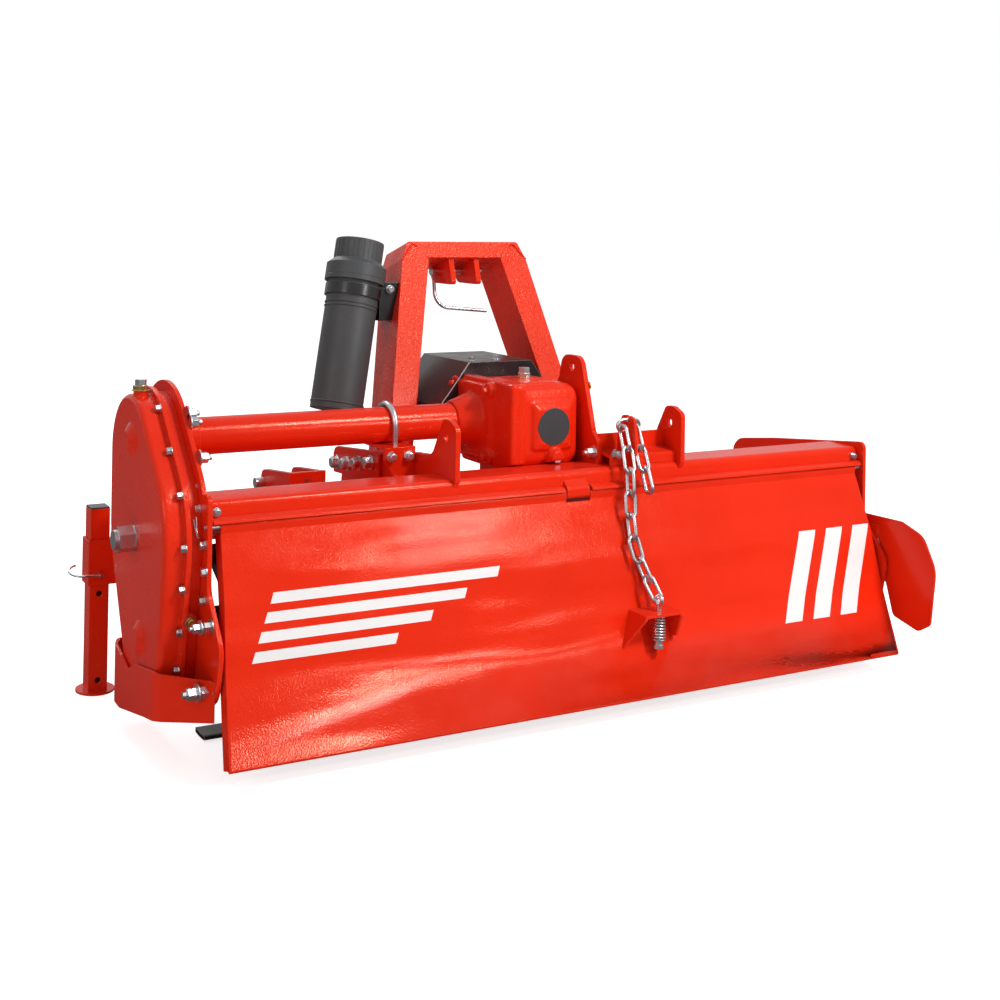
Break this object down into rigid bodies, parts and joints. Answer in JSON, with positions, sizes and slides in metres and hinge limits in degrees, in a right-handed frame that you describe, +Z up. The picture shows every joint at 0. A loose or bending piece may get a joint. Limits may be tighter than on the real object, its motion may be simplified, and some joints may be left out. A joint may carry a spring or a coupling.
{
  "type": "tractor rotary tiller",
  "caption": "Tractor-mounted rotary tiller with an arched three-point mast, side gear drive, bladed rotor under a hood, chained rear tailgate, skids and a parking stand.",
  "frame": {"origin": "on the ground under the rotor's axis, midway between the side plates", "axes": "+X to the right seen from behind, along the rotor; +Y forward, towards the tractor; +Z up"},
  "size_m": [1.6655, 0.7765, 0.8989],
  "materials": {
    "paint": "gloss orange-red paint",
    "black_paint": "satin black paint",
    "zinc": "bright zinc plating",
    "steel": "machined steel",
    "plastic": "matte dark grey plastic"
  },
  "bodies": {
    "frame": {"hood": "paint", "left_side_plate": "paint", "right_side_plate": "paint", "gear_case": "paint", "idler_nut": "zinc", "oil_plugs": "zinc", "drive_tube": "paint", "gearbox": "paint", "gearbox_cap": "plastic", "gearbox_gusset": "paint", "gusset_spacer": "paint", "rotor_bearing": "black_paint", "mast": "paint", "top_link_ears": "paint", "top_link_pin": "zinc", "front_beam": "paint", "beam_arms": "paint", "lower_hitch_ears": "paint", "lower_hitch_pins": "zinc", "pto_guard": "black_paint", "deck_brackets": "paint", "chain_hook": "paint", "cross_plate": "paint", "tube_clamp": "paint", "u_bolt": "zinc", "stand_sleeve": "paint", "stand_pin": "zinc", "left_skid": "paint", "right_skid": "paint", "side_deflector": "paint", "hinge_rod": "zinc", "document_tube": "plastic", "tube_strap": "black_paint"},
    "tailgate": {"tailgate": "paint", "gate_bracket": "paint", "eye_bolt": "zinc", "chain_spring": "zinc"},
    "rotor": {"rotor_shaft": "black_paint", "rotor_blades": "black_paint"},
    "input_shaft": {"pto_shaft": "steel"},
    "parking_stand": {"stand_leg": "paint", "stand_cap": "plastic"},
    "chain": {"chain": "zinc"},
    "document_cap": {"document_cap": "plastic"}
  },
  "joints": [
    {"name": "tailgate_hinge", "type": "hinge", "parent": "frame", "child": "tailgate", "pos_m": [0, -0.151, 0.412], "axis": [-1, 0, 0], "range_deg": [0, 60]},
    {"name": "rotor_spin", "type": "hinge", "parent": "frame", "child": "rotor", "pos_m": [0, 0, 0.192], "axis": [1, 0, 0], "continuous": true},
    {"name": "input_shaft_spin", "type": "hinge", "parent": "frame", "child": "input_shaft", "pos_m": [0, 0.15, 0.531], "axis": [0, 1, 0], "continuous": true},
    {"name": "stand_slide", "type": "slide", "parent": "frame", "child": "parking_stand", "axis": [0, 0, 1], "range_m": [0, 0.19]},
    {"name": "chain_swing", "type": "hinge", "parent": "frame", "child": "chain", "pos_m": [0.1335, -0.14, 0.531], "axis": [-1, 0, 0], "range_deg": [0, 42], "deforming": ["chain"]},
    {"name": "document_cap_slide", "type": "slide", "parent": "frame", "child": "document_cap", "axis": [0.209, 0.1478, 0.9667], "range_m": [0, 0.06]}
  ],
  "couplings": [
    {"joint": "input_shaft_spin", "follows": "rotor_spin", "ratio": 2.45},
    {"joint": "chain_swing", "follows": "tailgate_hinge", "ratio": 0.68}
  ]
}
